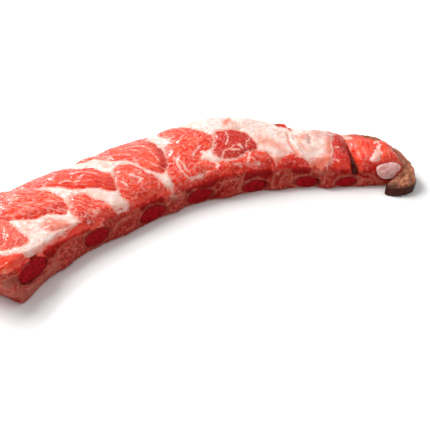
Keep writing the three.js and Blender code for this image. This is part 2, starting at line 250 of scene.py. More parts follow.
# Painted shade on the lean: darker towards the borders of the muscles that face away from the light, beside
# the crevice and under the knuckle. Points in strip mm, the reach, and how strongly.
PAINTED_SHADE_PATHS = [
    ([(107, 80), (108, 74), (108.5, 67.5), (109, 62.5), (107.5, 57), (104, 50)], 3.5, 0.9),
    ([(66, 50), (70, 47), (72, 51)], 3.5, 0.5),
    ([(24, 38), (32, 38), (38, 40)], 3.0, 0.55),
    ([(44, 29), (48, 27), (54, 28)], 2.5, 0.6),
    ([(76, 37), (82, 34), (92, 34)], 3.0, 0.7),
    ([(92, 47), (92, 40)], 2.0, 0.4),
    ([(108, 35), (118, 35), (128, 36)], 2.5, 0.6),
    ([(136, 70), (139, 62), (137, 56)], 2.5, 0.5),
    ([(145, 62), (141, 54), (137, 48)], 2.0, 0.6),
    ([(158, 28), (162, 30)], 2.5, 0.6),
    ([(4, 38), (9, 30), (12, 22)], 2.0, 0.35),
    ([(209, 30), (208, 22), (205, 12), (203, 4)], 3.0, 0.8),
    ([(214, 30), (213, 22), (211, 14), (209, 6)], 2.5, 0.5),
    ([(214, 4), (218, -4), (226, -6)], 4.0, 0.7),
]

# Humps and grooves in the top: points in strip mm, the reach, and the height.
RELIEF = [
    ([(140, 78), (152, 74), (160, 66)], 8.0, 1.1),
    ([(166, 62), (176, 50)], 7.0, 1.0),
    ([(202, 40), (205, 33)], 5.0, 1.0),
    ([(201, 48), (196, 39), (194, 34), (191, 30)], 1.4, -1.3),
    ([(186, 43), (183, 37.5), (182, 31), (180.5, 24)], 1.3, 0.8),
    ([(184.5, 44), (180.8, 37), (179.6, 30), (179.5, 23)], 1.0, -0.7),
    ([(185, 57.5), (191, 57.5)], 1.8, 1.3),
    ([(191, 56), (190, 49)], 1.0, 0.7),
    ([(182, 22), (190, 20.5), (198, 19)], 2.0, -0.5),
    ([(212, 22), (220, 14)], 6.0, 1.3),
    ([(224, 4), (229, 8)], 5.0, 0.9),
    ([(157, 72), (161, 66), (160, 58)], 2.0, -1.1),
    ([(186, 58), (187, 46), (184, 36)], 2.2, -1.0),
    ([(219, 28), (224, 14), (222, 2)], 1.6, -0.7),
    ([(111, 84), (116, 72), (110, 60)], 1.8, -0.5),
    ([(180, 40), (179, 30), (180, 21)], 1.2, -0.5),
    ([(174, 44), (173, 35), (175, 27)], 1.1, -0.4),
]

# The groove between the roll of fat and the knuckle, in strip mm.
CREVICE = [(213, 32), (212, 26), (211.5, 21), (210.5, 16.5), (208.5, 11), (206.5, 5), (205.5, -2)]
CREVICE_FLOOR = 8.5  # the height at which it ends on the sawn face

# Brown dried skin along edges: points in strip mm, the reach, and how strongly.
DRIED = [
    ([(211, 39), (213.5, 35), (213.5, 30), (212.5, 25)], 1.8, 0.5),
    ([(211.5, 40), (207, 43), (200, 44)], 1.8, 0.6),
    ([(200, 36), (206, 33), (210, 34)], 3.5, 0.35),
    ([(200, 45), (196, 39), (194, 34)], 0.9, 0.6),
    ([(220, 30), (224, 24), (228, 21)], 1.6, 0.7),
    ([(191, 55), (190, 48)], 0.8, 0.8),
]

# The flap of flank round the right end, outlined in strip mm, and its creases.
FLANK = [(212, 44), (219, 36), (225, 23), (227, 18), (229.5, 13), (234, 11), (236.8, 8), (236.5, 4),
         (234.3, -1), (231.5, -5.5), (229.2, -8.3), (226, -8), (220, -5.8), (214, -3.5), (206, -3),
         (206, -24), (226, -26), (250, -12), (256, 14), (246, 38), (228, 46)]
# Creases of the flap, in strip mm with their height.
FLANK_CREASES = [
    [(226, 21, 20), (228.5, 15, 19), (232, 11.5, 15), (236.5, 8, 13.5), (236.5, 3, 13), (233, -3, 12)],
    [(222, -13, 7), (228, -12, 8.5), (231.5, -11.5, 9.5), (233.5, -14, 8)],
    [(240, 16, 12.5), (241, 8, 12), (239, -2, 11)],
    [(236, -6, 11.5), (233, -13, 9), (229, -17, 6)],
    [(217, -11, 6.5), (222, -15, 6.5), (227, -16, 7)],
]

# What shows on the sawn faces. A place there is the number of the bone that it lies at, with
# fractions between bones, and its height as a share of the face. First the wedges of dark lean.
FACE_LEAN = [
    [(1.18, 0.80), (1.31, 0.93), (1.42, 0.92), (1.55, 0.85), (1.44, 0.74), (1.36, 0.66), (1.31, 0.58),
     (1.26, 0.68)],
    [(1.95, 0.78), (2.07, 0.90), (2.18, 0.88), (2.24, 0.77), (2.14, 0.69), (2.03, 0.73)],
    [(2.80, 0.80), (2.91, 0.90), (3.10, 0.88), (3.22, 0.88), (3.28, 0.78), (3.26, 0.66), (3.18, 0.55),
     (3.02, 0.52), (2.86, 0.56), (2.78, 0.68)],
    [(3.72, 0.66), (3.88, 0.78), (4.06, 0.86), (4.22, 0.93), (4.37, 0.94), (4.46, 0.78), (4.31, 0.64),
     (4.23, 0.52), (4.08, 0.56), (3.95, 0.58), (3.85, 0.55), (3.78, 0.50)],
    [(4.80, 0.70), (4.94, 0.92), (5.11, 0.95), (5.33, 0.90), (5.35, 0.66), (5.27, 0.47), (5.10, 0.56),
     (4.94, 0.58), (4.82, 0.53)],
    [(5.70, 0.92), (5.84, 0.95), (5.97, 0.90), (6.11, 0.76), (6.12, 0.53), (5.95, 0.55), (5.80, 0.55),
     (5.72, 0.70)],
    [(6.85, 0.80), (7.00, 0.90), (7.15, 0.86), (7.15, 0.66), (6.98, 0.60)],
    [(7.53, 0.82), (7.67, 1.00), (7.74, 1.00), (7.71, 0.79), (7.61, 0.55), (7.47, 0.47), (7.41, 0.58)],
    [(3.74, 0.55), (3.78, 0.22), (4.05, 0.04), (4.32, 0.12), (4.43, 0.40), (4.38, 0.60), (4.1, 0.70)],
    [(0.63, 0.09), (0.66, 0.23), (0.70, 0.24), (0.73, 0.14), (0.74, 0.08), (0.68, 0.09)],
]
FACE_BROWN = [
    [(0.60, 0.82), (0.76, 0.84), (0.90, 0.82), (1.02, 0.80), (0.94, 0.76), (0.86, 0.67), (0.78, 0.58),
     (0.70, 0.62), (0.60, 0.68)],
]
FACE_PALE = [
    [(0.71, 0.51), (0.80, 0.42), (0.94, 0.28), (1.07, 0.24), (1.18, 0.30), (1.27, 0.42), (1.33, 0.45),
     (1.40, 0.22), (1.34, 0.05), (1.20, -0.10), (0.80, -0.10), (0.73, 0.11), (0.67, 0.20), (0.60, 0.45)],
    [(6.14, 0.93), (6.34, 1.05), (6.58, 1.02), (6.66, 0.80), (6.52, 0.60), (6.30, 0.62)],
    [(0.30, 0.20), (0.45, 0.60), (0.52, 0.50), (0.50, 0.10)],
    [(0.60, 0.81), (0.66, 0.75), (0.69, 0.62), (0.66, 0.51), (0.60, 0.50)],
    [(3.15, 1.05), (3.36, 1.05), (3.52, 0.92), (3.60, 0.78), (3.70, 0.62), (3.60, 0.50), (3.44, 0.52),
     (3.32, 0.70), (3.22, 0.88)],
]
# Thin pale fascia that crosses the faces, with half its width in mm. The last lines, round bone 7
# and the knuckle, are only painted. All the others also get a thread.
FACE_LINES = [
    ([(1.33, 0.56), (1.38, 0.66), (1.45, 0.72), (1.56, 0.78), (1.65, 0.78), (1.74, 0.75),
      (1.85, 0.72)], 0.45),
    ([(0.52, 0.84), (0.70, 0.85), (0.80, 0.82), (0.91, 0.80), (0.99, 0.79), (1.05, 0.81)], 0.4),
    ([(1.01, 0.80), (0.93, 0.76), (0.84, 0.67), (0.78, 0.62), (0.75, 0.51)], 0.45),
    ([(1.59, 0.73), (1.62, 0.53), (1.66, 0.41)], 0.25),
    ([(1.29, 0.57), (1.31, 0.40), (1.22, 0.27), (1.08, 0.22), (0.88, 0.28)], 0.7),
    ([(2.26, 0.46), (2.34, 0.58), (2.44, 0.65), (2.55, 0.67)], 0.5),
    ([(2.18, 0.82), (2.30, 0.80), (2.45, 0.88), (2.60, 0.86), (2.74, 0.78), (2.79, 0.67), (2.76, 0.50),
      (2.77, 0.29)], 0.35),
    ([(3.27, 0.46), (3.40, 0.61), (3.57, 0.68), (3.70, 0.67), (3.78, 0.52), (3.77, 0.35)], 0.4),
    ([(3.78, 0.56), (3.85, 0.54), (3.99, 0.58), (4.15, 0.52), (4.28, 0.58)], 0.35),
    ([(4.08, 0.55), (4.23, 0.52), (4.34, 0.42), (4.40, 0.61), (4.52, 0.68), (4.65, 0.66),
      (4.77, 0.66)], 0.35),
    ([(4.70, 0.16), (4.74, 0.43), (4.77, 0.62), (4.83, 0.80), (4.88, 0.89)], 0.55),
    ([(4.77, 0.42), (4.87, 0.52), (5.00, 0.55), (5.13, 0.50), (5.25, 0.38)], 0.5),
    ([(5.36, 0.08), (5.33, 0.37), (5.37, 0.58), (5.49, 0.74), (5.61, 0.80), (5.72, 0.74)], 0.5),
    ([(5.47, 0.34), (5.51, 0.51), (5.62, 0.62), (5.73, 0.63), (5.70, 0.49), (5.61, 0.27)], 0.4),
    ([(5.68, 0.26), (5.72, 0.45), (5.84, 0.53), (5.99, 0.55)], 0.35),
    ([(6.15, 0.78), (6.09, 0.57), (6.19, 0.38), (6.35, 0.25), (6.44, 0.54), (6.37, 0.75), (6.27, 0.70)], 0.4),
    ([(6.62, 0.33), (6.83, 0.52), (7.04, 0.55), (7.27, 0.44), (7.39, 0.51)], 0.5),
    ([(7.40, 0.21), (7.43, 0.36), (7.53, 0.44), (7.66, 0.39), (7.73, 0.21), (7.67, 0.02)], 0.4),
    ([(7.47, 0.71), (7.50, 0.61), (7.62, 0.65), (7.68, 0.54)], 0.3),
    ([(7.26, 0.39), (7.33, 0.37), (7.39, 0.31), (7.38, 0.16)], 0.3),
    ([(7.74, 0.54), (7.82, 0.34), (7.90, 0.24), (8.0, 0.20), (8.15, 0.24)], 0.6),
]
PAINTED_LINES = 5


def to_strip(coordinates):
    """Part metres to strip millimetres."""
    return coordinates / MM - STRIP_ORIGIN


def to_part(points):
    """Strip millimetres to part metres."""
    return (np.asarray(points, float) + STRIP_ORIGIN) * MM


def step(low, high, value):
    """0 below low and 1 above high, with a soft ramp between."""
    t = np.clip((value - low) / (high - low), 0, 1)
    return t * t * (3 - 2 * t)


def fade(distance, reach):
    """1 at no distance, and less on both sides of it, until little is left at twice the reach."""
    return np.exp(-(distance / reach) ** 2)


def rounded(outline, steps=5):
    """A closed smooth curve through the outline's points."""
    points = np.array(outline, float)
    curve = []
    for i in range(len(points)):
        a, b, c, d = (points[(i + k) % len(points)] for k in (-1, 0, 1, 2))
        for t in np.arange(steps) / steps:
            curve.append(0.5 * (2 * b + (c - a) * t + (2 * a - 5 * b + 4 * c - d) * t * t
                                + (3 * b - a - 3 * c + d) * t ** 3))
    return np.array(curve)


def path_distance(points, path, reach):
    """How far each point is from an open path in plan, up to reach."""
    path = np.array(path, float)
    width = path.shape[1]
    found = np.full(len(points), float(reach))
    near = np.all((points[:, :width] > path.min(0) - reach)
                  & (points[:, :width] < path.max(0) + reach), axis=1)
    spots = points[near, :width]
    best = np.full(len(spots), float(reach) ** 2)
    for a, b in zip(path[:-1], path[1:]):
        along = b - a
        share = np.clip(((spots - a) @ along) / (along @ along), 0, 1)
        best = np.minimum(best, ((spots - a - share[:, None] * along) ** 2).sum(1))
    found[near] = np.sqrt(best)
    return found


def near_paths(points, paths):
    """The strength of the nearest of some paths, which fades out over each path's own reach."""
    found = np.zeros(len(points))
    for path, reach, strength in paths:
        found = np.maximum(found, strength * fade(path_distance(points, path, 4 * reach), reach))
    return found


def outline_distance(points, outline, reach):
    """Distance from a closed outline in plan: below 0 inside it, and never over reach."""
    outline = np.array(outline, float)
    edge = path_distance(points, np.vstack([outline, outline[:1]]), reach)
    inside = np.zeros(len(points), bool)
    for a, b in zip(outline, np.roll(outline, -1, axis=0)):
        if a[1] == b[1]:
            continue
        crosses = (a[1] > points[:, 1]) != (b[1] > points[:, 1])
        inside ^= crosses & (points[:, 0] < a[0] + (points[:, 1] - a[1]) * (b[0] - a[0]) / (b[1] - a[1]))
    return np.where(inside, -edge, edge)


def rough(points, size, seed, octaves=3):
    """Smooth random relief from about -1 to 1, with lumps about size mm wide."""
    shift = Vector((seed * 17.3, seed * 7.1, seed * 3.7))
    return np.array([noise.fractal(Vector(p) / size + shift, 0.9, 2.1, octaves) for p in points])


def coordinates_of(mesh):
    flat = np.empty(len(mesh.vertices) * 3)
    mesh.vertices.foreach_get("co", flat)
    return flat.reshape(-1, 3)


def normals_of(mesh):
    flat = np.empty(len(mesh.vertices) * 3)
    mesh.vertex_normals.foreach_get("vector", flat)
    return flat.reshape(-1, 3)


def write_coordinates(mesh, coordinates):
    mesh.vertices.foreach_set("co", np.ascontiguousarray(coordinates, float).reshape(-1))
    mesh.update()


def store(mesh, name, values):
    """Keeps a value for each vertex under a name that the material reads."""
    kind, field = ("FLOAT_VECTOR", "vector") if values.ndim == 2 else ("FLOAT", "value")
    attribute = mesh.attributes.new(name, kind, "POINT")
    attribute.data.foreach_set(field, np.ascontiguousarray(values, np.float32).reshape(-1))


def new_piece(name, mesh):
    piece = bpy.data.objects.new(name, mesh)
    bpy.context.scene.collection.objects.link(piece)
    return piece


def merged_copy(node):
    """The mesh of a CAD node with its loose triangles joined."""
    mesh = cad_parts[node].data.copy()
    mesh.materials.clear()
    shape = bmesh.new()
    shape.from_mesh(mesh)
    bmesh.ops.remove_doubles(shape, verts=shape.verts, dist=0.01 * MM)
    shape.to_mesh(mesh)
    shape.free()
    return mesh


def settle(piece):
    """Turns a piece with its modifiers into one plain mesh."""
    graph = bpy.context.evaluated_depsgraph_get()
    piece.data = bpy.data.meshes.new_from_object(piece.evaluated_get(graph))
    piece.modifiers.clear()


def remesh(piece, voxel, smoothing):
    """Gives a piece one even skin with faces about voxel mm wide, and smooths it some times."""
    skin = piece.modifiers.new("even skin", "REMESH")
    skin.mode = "VOXEL"
    skin.voxel_size = voxel * MM
    skin.use_smooth_shade = True
    relax = piece.modifiers.new("relax", "SMOOTH")
    relax.factor = 0.5
    relax.iterations = smoothing
    settle(piece)


def bone_frame(name):
    """Where a rib bone's two ends are: centre, outward direction, sideways direction and radii."""
    points = to_strip(coordinates_of(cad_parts[name].data))
    middle = points.mean(0)
    axis = np.linalg.svd(points[::3] - middle, full_matrices=False)[2][0]
    axis[2] = 0
    axis /= np.linalg.norm(axis) * np.sign(axis[1])
    aside = np.array([axis[1], -axis[0], 0])
    along = (points - middle) @ axis
    ends = []
    for outward, reach in ((-1, along.min()), (1, along.max())):
        ring = points[np.abs(along - reach) < 0.5]
        centre = (ring.min(0) + ring.max(0)) / 2
        across = np.abs((ring - centre) @ aside).max()
        ends.append(dict(centre=centre, outward=axis * outward, aside=aside,
                         radii=(across, np.abs(ring[:, 2] - centre[2]).max())))
    return ends


BONE_ENDS = [end for name in RIBS for end in bone_frame(name)]


def bone_rim_distance(points, reach=12.0):
    """Distance in mm outside the nearest bone's oval on a sawn face, below 0 on the bone itself."""
    found = np.full(len(points), reach)
    for end in BONE_ENDS:
        offset = points - end["centre"]
        depth = np.abs(offset @ end["outward"])
        across, tall = end["radii"]
        share = np.hypot((offset @ end["aside"]) / across, offset[:, 2] / tall)
        rim = (share - 1) * np.hypot((offset @ end["aside"]), offset[:, 2]) / np.maximum(share, 0.05)
        found = np.where(depth < 9, np.minimum(found, rim), found)
    return found


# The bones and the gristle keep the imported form, with worn edges and pitted sawn ends.

def bone_piece(name, ends):
    """A rib bone with swollen uneven sides, and pitted sawn ends that are worn round their rims."""
    piece = new_piece(name.replace("bone", "sawn_bone"), merged_copy(name))
    remesh(piece, BONE_VOXEL, 2)
    mesh = piece.data
    points, normals = to_strip(coordinates_of(mesh)), normals_of(mesh)
    share = np.full(len(points), 2.0)
    facing = np.zeros(len(points))
    for end in ends:
        offset = points - end["centre"]
        near = np.abs(offset @ end["outward"]) < 5
        across, tall = end["radii"]
        oval = np.hypot((offset @ end["aside"]) / across, offset[:, 2] / tall)
        share = np.where(near, oval, share)
        facing = np.where(near, normals @ end["outward"], facing)
    face = step(0.5, 0.85, facing)
    height = face * (PIT_HEIGHT * rough(points, 2.2, 11) - RIM_WEAR * step(0.86, 0.7, share))
    height += (1 - face) * (BONE_SWELL + BONE_WOBBLE * rough(points, 6, 12, 2))
    points = points + normals * height[:, None]
    for end in ends:
        reach = (points - end["centre"]) @ end["outward"]
        points -= (step(-2.5, -0.5, reach) * BONE_SUNK)[:, None] * end["outward"]
    write_coordinates(mesh, to_part(points))
    store(mesh, "oval", share)
    store(mesh, "sawn_end", face)
    return piece


bones = [bone_piece(name, BONE_ENDS[2 * i: 2 * i + 2]) for i, name in enumerate(RIBS)]


def gristle_piece():
    """The disc of cartilage, with soft lumps."""
    piece = new_piece("gristle_end", merged_copy("cartilage"))
    remesh(piece, GRISTLE_VOXEL, 6)
    mesh = piece.data
    points, normals = to_strip(coordinates_of(mesh)), normals_of(mesh)
    height = 0.45 * rough(points, 6, 21) + 0.12 * rough(points, 2, 22)
    write_coordinates(mesh, to_part(points + normals * height[:, None]))
    return piece


gristle = gristle_piece()


# The meat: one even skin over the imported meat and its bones, then relief, then the bones' seats.

def meat_body():
    """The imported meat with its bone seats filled, as an even skin."""
    whole = bmesh.new()
    whole.from_mesh(merged_copy("meat"))
    for name in RIBS + ["cartilage"]:
        plug = merged_copy(name)
        points = coordinates_of(plug)
        middle = points.mean(0)
        axis = np.linalg.svd(points - middle, full_matrices=False)[2][0]
        along = (points - middle) @ axis
        grown = points + normals_of(plug) * 0.5 * MM
        inset = (RIB_PLUG_INSET if name in RIBS else GRISTLE_PLUG_INSET) * MM
        low, high = along.min() + inset, along.max() - inset
        grown += ((np.clip(along, low, high) - along)[:, None]) * axis
        write_coordinates(plug, grown)
        whole.from_mesh(plug)
    mesh = bpy.data.meshes.new("meat")
    whole.to_mesh(mesh)
    whole.free()
    piece = new_piece("strip_meat", mesh)
    remesh(piece, MEAT_VOXEL, 5)
    return piece


def sawn_share(normals):
    """1 on the sawn faces, 0 on the top and underside."""
    return (1 - step(0.22, 0.55, normals[:, 2])) * (1 - step(0.6, 0.9, -normals[:, 2]))


class SawnFace:
    """One of the two long sawn faces, unrolled flat: its length along the strip and its height."""

    def __init__(self, points, normals, side):
        own = (np.abs(normals[:, 2]) < 0.5) & (normals[:, 1] * side > 0.35)
        bins = np.arange(*FACE_SPAN, FACE_STEP)
        found = [(x, points[own & (np.abs(points[:, 0] - x) < 3)]) for x in bins]
        found = [(x, spots) for x, spots in found if len(spots) > 25]
        self.x = np.array([x for x, _ in found])
        y = np.array([np.median(spots[:, 1]) for _, spots in found])
        top = np.array([np.percentile(spots[:, 2], 98) for _, spots in found])
        smooth = np.ones(5) / 5
        self.y = np.convolve(np.pad(y, 2, mode="edge"), smooth, mode="valid")
        self.top = np.convolve(np.pad(top, 2, mode="edge"), smooth, mode="valid")
        self.edge = np.stack([self.x, self.y], 1)
        self.length = np.concatenate([[0], np.cumsum(np.hypot(np.diff(self.x), np.diff(self.y)))])
        ends = BONE_ENDS[::2] if side < 0 else BONE_ENDS[1::2]
        centres = [end["centre"][0] for end in ends]
        self.bone_x = [2 * centres[0] - centres[1]] + centres + [2 * centres[-1] - centres[-2]]

    def flat(self, points):
        """Length along the face and height of points, and their height as a share."""
        length = np.interp(points[:, 0], self.x, self.length)
        return np.stack([length, points[:, 2]], 1), points[:, 2] / np.interp(points[:, 0], self.x, self.top)

    def along(self, path):
        """Where along the strip and how high a path lies that is given by bone number and share."""
        x = np.interp([p[0] for p in path], np.arange(9), self.bone_x)
        return x, [p[1] * np.interp(a, self.x, self.top) for p, a in zip(path, x)]

    def placed(self, path):
        """A path given by bone number and height share, in millimetres on the flat face."""
        x, height = self.along(path)
        return np.stack([np.interp(x, self.x, self.length), height], 1)

    def in_strip(self, path):
        """A path given by bone number and height share, as strip coordinates on the face."""
        x, height = self.along(path)
        return np.stack([x, np.interp(x, self.x, self.y), height], 1)


def on_faces(faces, points, normals, measure, far):
    """A measure taken on whichever sawn face each point belongs to."""
    found = np.full(len(points), float(far))
    for side, face in faces.items():
        own = normals[:, 1] * side > 0
        found[own] = measure(face, face.flat(points[own]))
    return found


def nearest_outline(outlines, reach=FACE_REACH):
    return lambda face, flat: np.min(
        [outline_distance(flat[0], rounded(face.placed(o), 4), reach) for o in outlines], axis=0)


def nearest_line(lines, reach=FACE_REACH):
    return lambda face, flat: np.min(
        [path_distance(flat[0], face.placed(p), reach) - half for p, half in lines], axis=0)


def lobe_share(face, flat):
    """1 in the middle of the muscle between two bones, 0 at its rim."""
    number = np.interp(np.interp(flat[0][:, 0], face.length, face.x), face.bone_x, np.arange(9))
    across = (number - np.floor(number) - 0.5) / 0.33
    return np.clip(1 - across ** 2 - ((flat[1] - 0.42) / 0.42) ** 2, 0, 1)


def muscle_map(points):
    """For each point: distance to the nearest muscle's edge, and that muscle's number."""
    edges = np.stack([outline_distance(points, rounded(m["outline"]), 14) for m in MUSCLES.values()])
    return edges.min(0), edges.argmin(0)


def fibre_coordinates(points, muscle):
    """Millimetres along and across the fibres of each point's own muscle."""
    fibre = np.zeros_like(points)
    for number, trait in enumerate(MUSCLES.values()):
        own = muscle == number
        spots = points[own]
        if "swirl" in trait:
            offset = spots[:, :2] - trait["swirl"]
            across = np.hypot(offset[:, 0], offset[:, 1])
            mean = across.mean() if len(across) else 1
            along = np.arctan2(offset[:, 1], offset[:, 0]) * mean
        else:
            turn = math.radians(trait["heading"])
            along = spots[:, 0] * math.cos(turn) + spots[:, 1] * math.sin(turn)
            across = spots[:, 1] * math.cos(turn) - spots[:, 0] * math.sin(turn)
        fibre[own] = np.stack([along, across, spots[:, 2] + 31.0 * number], 1)
    return fibre


def crevice_distance(points):
    """How far each point is from the crevice, which ends above the foot of the sawn face."""
    below = step(CREVICE_FLOOR + 0.5, CREVICE_FLOOR - 2, points[:, 2])
    widening = 2.0 * step(10, 26, points[:, 1]) - 0.8 * step(16, 6, points[:, 1])
    return path_distance(points, CREVICE, 12) + 4 * below + widening


def shape_meat(piece):
    """Raises muscles, folds, lobes and grain on the meat, and returns what lay there before."""
    mesh = piece.data
    calm, normals = to_strip(coordinates_of(mesh)), normals_of(mesh)
    faces = {side: SawnFace(calm, normals, side) for side in (-1, 1)}
    lean_edge, muscle = muscle_map(calm)
    fibre = fibre_coordinates(calm, muscle)
    upward = step(0.2, 0.7, normals[:, 2])
    sawn = sawn_share(normals)
    flank = step(-0.5, 1.5, -outline_distance(calm, rounded(FLANK), 8))
    height = sum(rise * rough(calm, size, seed) for rise, size, seed in LUMPS)
    grain = rough(fibre * (0.14, 0.8, 0.4), 1.6, 4)
    height += upward * GRAIN_HEIGHT * grain * step(1.5, -1.0, lean_edge)
    height += upward * (MUSCLE_SWELL * step(0.5, -6, lean_edge) - SEAM_DEPTH * fade(lean_edge - 0.3, 0.9))
    near_edge = step(6, 2, path_distance(calm, faces[-1].edge, 12))
    height += EDGE_LUMPS * rough(calm, 6, 5) * near_edge * step(6, 10, calm[:, 2])
    for pad in FAT_PADS:
        height += upward * PAD_HEIGHT * step(0.6, -1.2, outline_distance(calm, rounded(pad), 5))
    for path, reach, rise in RELIEF:
        height += upward * rise * fade(path_distance(calm, path, 5 * reach), reach)
    groove = crevice_distance(calm)
    height += upward * GROOVE_LIP * fade(groove - 3.8, 1.8) - GROOVE_DEPTH * fade(groove, 1.0)
    for path in FLANK_CREASES:
        height -= CREASE_DEPTH * fade(path_distance(calm, path, 8), 1.1)
    height += FLANK_LUMPS * flank * rough(calm, 4, 31)
    # On the sawn faces the lobes between bones swell, wedges of lean sink and fascia stands up.
    lobes = on_faces(faces, calm, normals, lobe_share, 0)
    wedges = on_faces(faces, calm, normals, nearest_outline(FACE_LEAN), FACE_REACH)
    lines = on_faces(faces, calm, normals, nearest_line(FACE_LINES), FACE_REACH)
    rim = bone_rim_distance(calm)
    face_height = LOBE_SWELL * lobes - WEDGE_DEPTH * step(0.8, -1.6, wedges) * step(0.2, 2.2, rim)
    face_height += FASCIA_HEIGHT * step(0.7, -0.2, lines)
    height += sawn * (1 - flank) * face_height
    # The relief dies down round the bones and on the underside.
    height *= 1 - 0.85 * sawn * step(1.8, 0.0, rim)
    height *= 1 - 0.8 * step(0.5, 0.9, -normals[:, 2])
    points = calm + normals * height[:, None]
    points[:, 2] = np.maximum(points[:, 2], 0)
    write_coordinates(mesh, to_part(points))
    tree = KDTree(len(points))
    for i, spot in enumerate(points):
        tree.insert(spot, i)
    tree.balance()
    return tree, calm, normals, faces


def cut_seats(piece):
    """Cuts the seats through the meat: the gristle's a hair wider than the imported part, and the
    bones' a little inside their swollen sides, so that no gap shows round them."""
    gristle_seat = merged_copy("cartilage")
    write_coordinates(gristle_seat, coordinates_of(gristle_seat) + normals_of(gristle_seat) * SEAT_GAP * MM)
    cutters = [new_piece("gristle_seat", gristle_seat)]
    for i, bone in enumerate(bones):
        seat = bone.data.copy()
        points = to_strip(coordinates_of(seat)) + normals_of(seat) * (SEAT_GAP - BONE_SWELL)
        for end in BONE_ENDS[2 * i: 2 * i + 2]:
            reach = (points - end["centre"]) @ end["outward"]
            points += (step(-2.0, -1.0, reach) * SEAT_REACH)[:, None] * end["outward"]
        write_coordinates(seat, to_part(points))
        cutter = new_piece("bone_seat", seat)
        cutter.modifiers.new("fewer faces", "DECIMATE").ratio = SEAT_SHARE
        cutters.append(cutter)
    for cutter in cutters:
        cut = piece.modifiers.new("seat", "BOOLEAN")
        cut.operation = "DIFFERENCE"
        cut.solver = "MANIFOLD"
        cut.object = cutter
    settle(piece)
    for cutter in cutters:
        bpy.data.objects.remove(cutter)


def mark_meat(piece, tree, calm, normals, faces):
    """Stores on each vertex of the meat what its material needs to know."""
    mesh = piece.data
    twin = np.array([tree.find(spot)[1] for spot in to_strip(coordinates_of(mesh))])
    points, normals = calm[twin], normals[twin]
    lean_edge, muscle = muscle_map(points)
    store(mesh, "fibre", fibre_coordinates(points, muscle))
    store(mesh, "lean_edge", lean_edge)
    for name in ("streaks", "net", "depth"):
        store(mesh, name, np.array([trait[name] for trait in MUSCLES.values()])[muscle])
    fat_line = np.full(len(points), 4.0)
    for path, half in FAT_LINES:
        fat_line = np.minimum(fat_line, path_distance(points, path, 4 + half) - half)
    for pad in FAT_PADS:
        fat_line = np.minimum(fat_line, outline_distance(points, rounded(pad), 4))
    store(mesh, "fat_line", fat_line)
    near_edge = step(4.5, 1.0, path_distance(points, faces[-1].edge, 12))
    store(mesh, "blush", np.maximum(near_paths(points, BLUSHES), 0.5 * near_edge))
    share = on_faces(faces, points, normals, lambda face, flat: flat[1], 0)
    store(mesh, "edge_band", near_edge * step(0.68, 0.9, share))
    soft = sum(fade(points[:, 0] - middle, spread) * step(low, high, share)
               for middle, spread, low, high in SOFT_ROLLS)
    low_down = (1 - step(0.55, 0.8, share)) * (1 - step(0.6, 0.9, -normals[:, 2]))
    store(mesh, "sawn", np.maximum(sawn_share(normals), low_down) * (1 - soft))
    store(mesh, "rim", bone_rim_distance(points))
    store(mesh, "underside", step(0.45, 0.8, -normals[:, 2]))
    store(mesh, "flank", -outline_distance(points, rounded(FLANK), 8))
    store(mesh, "crevice", crevice_distance(points))
    # Dried brown skin, and the painted shade on the lean.
    for name, paths in (("dried", DRIED), ("painted_shade", PAINTED_SHADE_PATHS)):
        store(mesh, name, near_paths(points, paths))
    for name, measure in (("face_lean", nearest_outline(FACE_LEAN)),
                          ("face_brown", nearest_outline(FACE_BROWN)),
                          ("face_pale", nearest_outline(FACE_PALE)),
                          ("face_line", nearest_line(FACE_LINES))):
        store(mesh, name, on_faces(faces, points, normals, measure, FACE_REACH))
    under_rib = np.full(len(points), 20.0)
    for front, back in zip(BONE_ENDS[::2], BONE_ENDS[1::2]):
        path = [front["centre"][:2], back["centre"][:2]]
        under_rib = np.minimum(under_rib, path_distance(points, path, 20) - front["radii"][0] * 0.9)
    store(mesh, "under_rib", under_rib)


meat = meat_body()
before = shape_meat(meat)
cut_seats(meat)
mark_meat(meat, *before)
faces = before[3]


# Threads of fascia that lie along the lines on the sawn faces, half sunk in the meat.

meat_tree = BVHTree.FromObject(meat, bpy.context.evaluated_depsgraph_get())


def laid_on_meat(path, sunk):
    """Moves a path onto the meat's surface, sunk mm into it, and drops what lies too far from it."""
    laid = []
    for spot in path:
        place, normal, _, distance = meat_tree.find_nearest(Vector(to_part(spot)))
        if distance < 5 * MM and abs(normal.z) < 0.8:
            laid.append(to_strip(np.array(place)) - np.array(normal) * sunk)
    return laid


def evenly(path, gap):
    """A path with points no more than gap mm apart."""
    path = np.array(path, float)
    reach = np.concatenate([[0], np.cumsum(np.linalg.norm(np.diff(path, axis=0), axis=1))])
    at = np.linspace(0, reach[-1], max(2, int(reach[-1] / gap)))
    return np.stack([np.interp(at, reach, path[:, k]) for k in range(3)], 1)


def wire_mesh(name, paths):
    """A mesh of bare edges along the paths."""
    vertices, edges = [], []
    for path in paths:
        first = len(vertices)
        vertices += [tuple(to_part(p)) for p in path]
        edges += [(first + i, first + i + 1) for i in range(len(path) - 1)]
    mesh = bpy.data.meshes.new(name)
    mesh.from_pydata(vertices, edges, [])
    return mesh


def hex_colour(code):
    """An sRGB hex value as linear red, green, blue and full alpha."""
    parts = [int(code[i:i + 2], 16) / 255 for i in (1, 3, 5)]
    return tuple(p / 12.92 if p <= 0.04045 else ((p + 0.055) / 1.055) ** 2.4 for p in parts) + (1.0,)


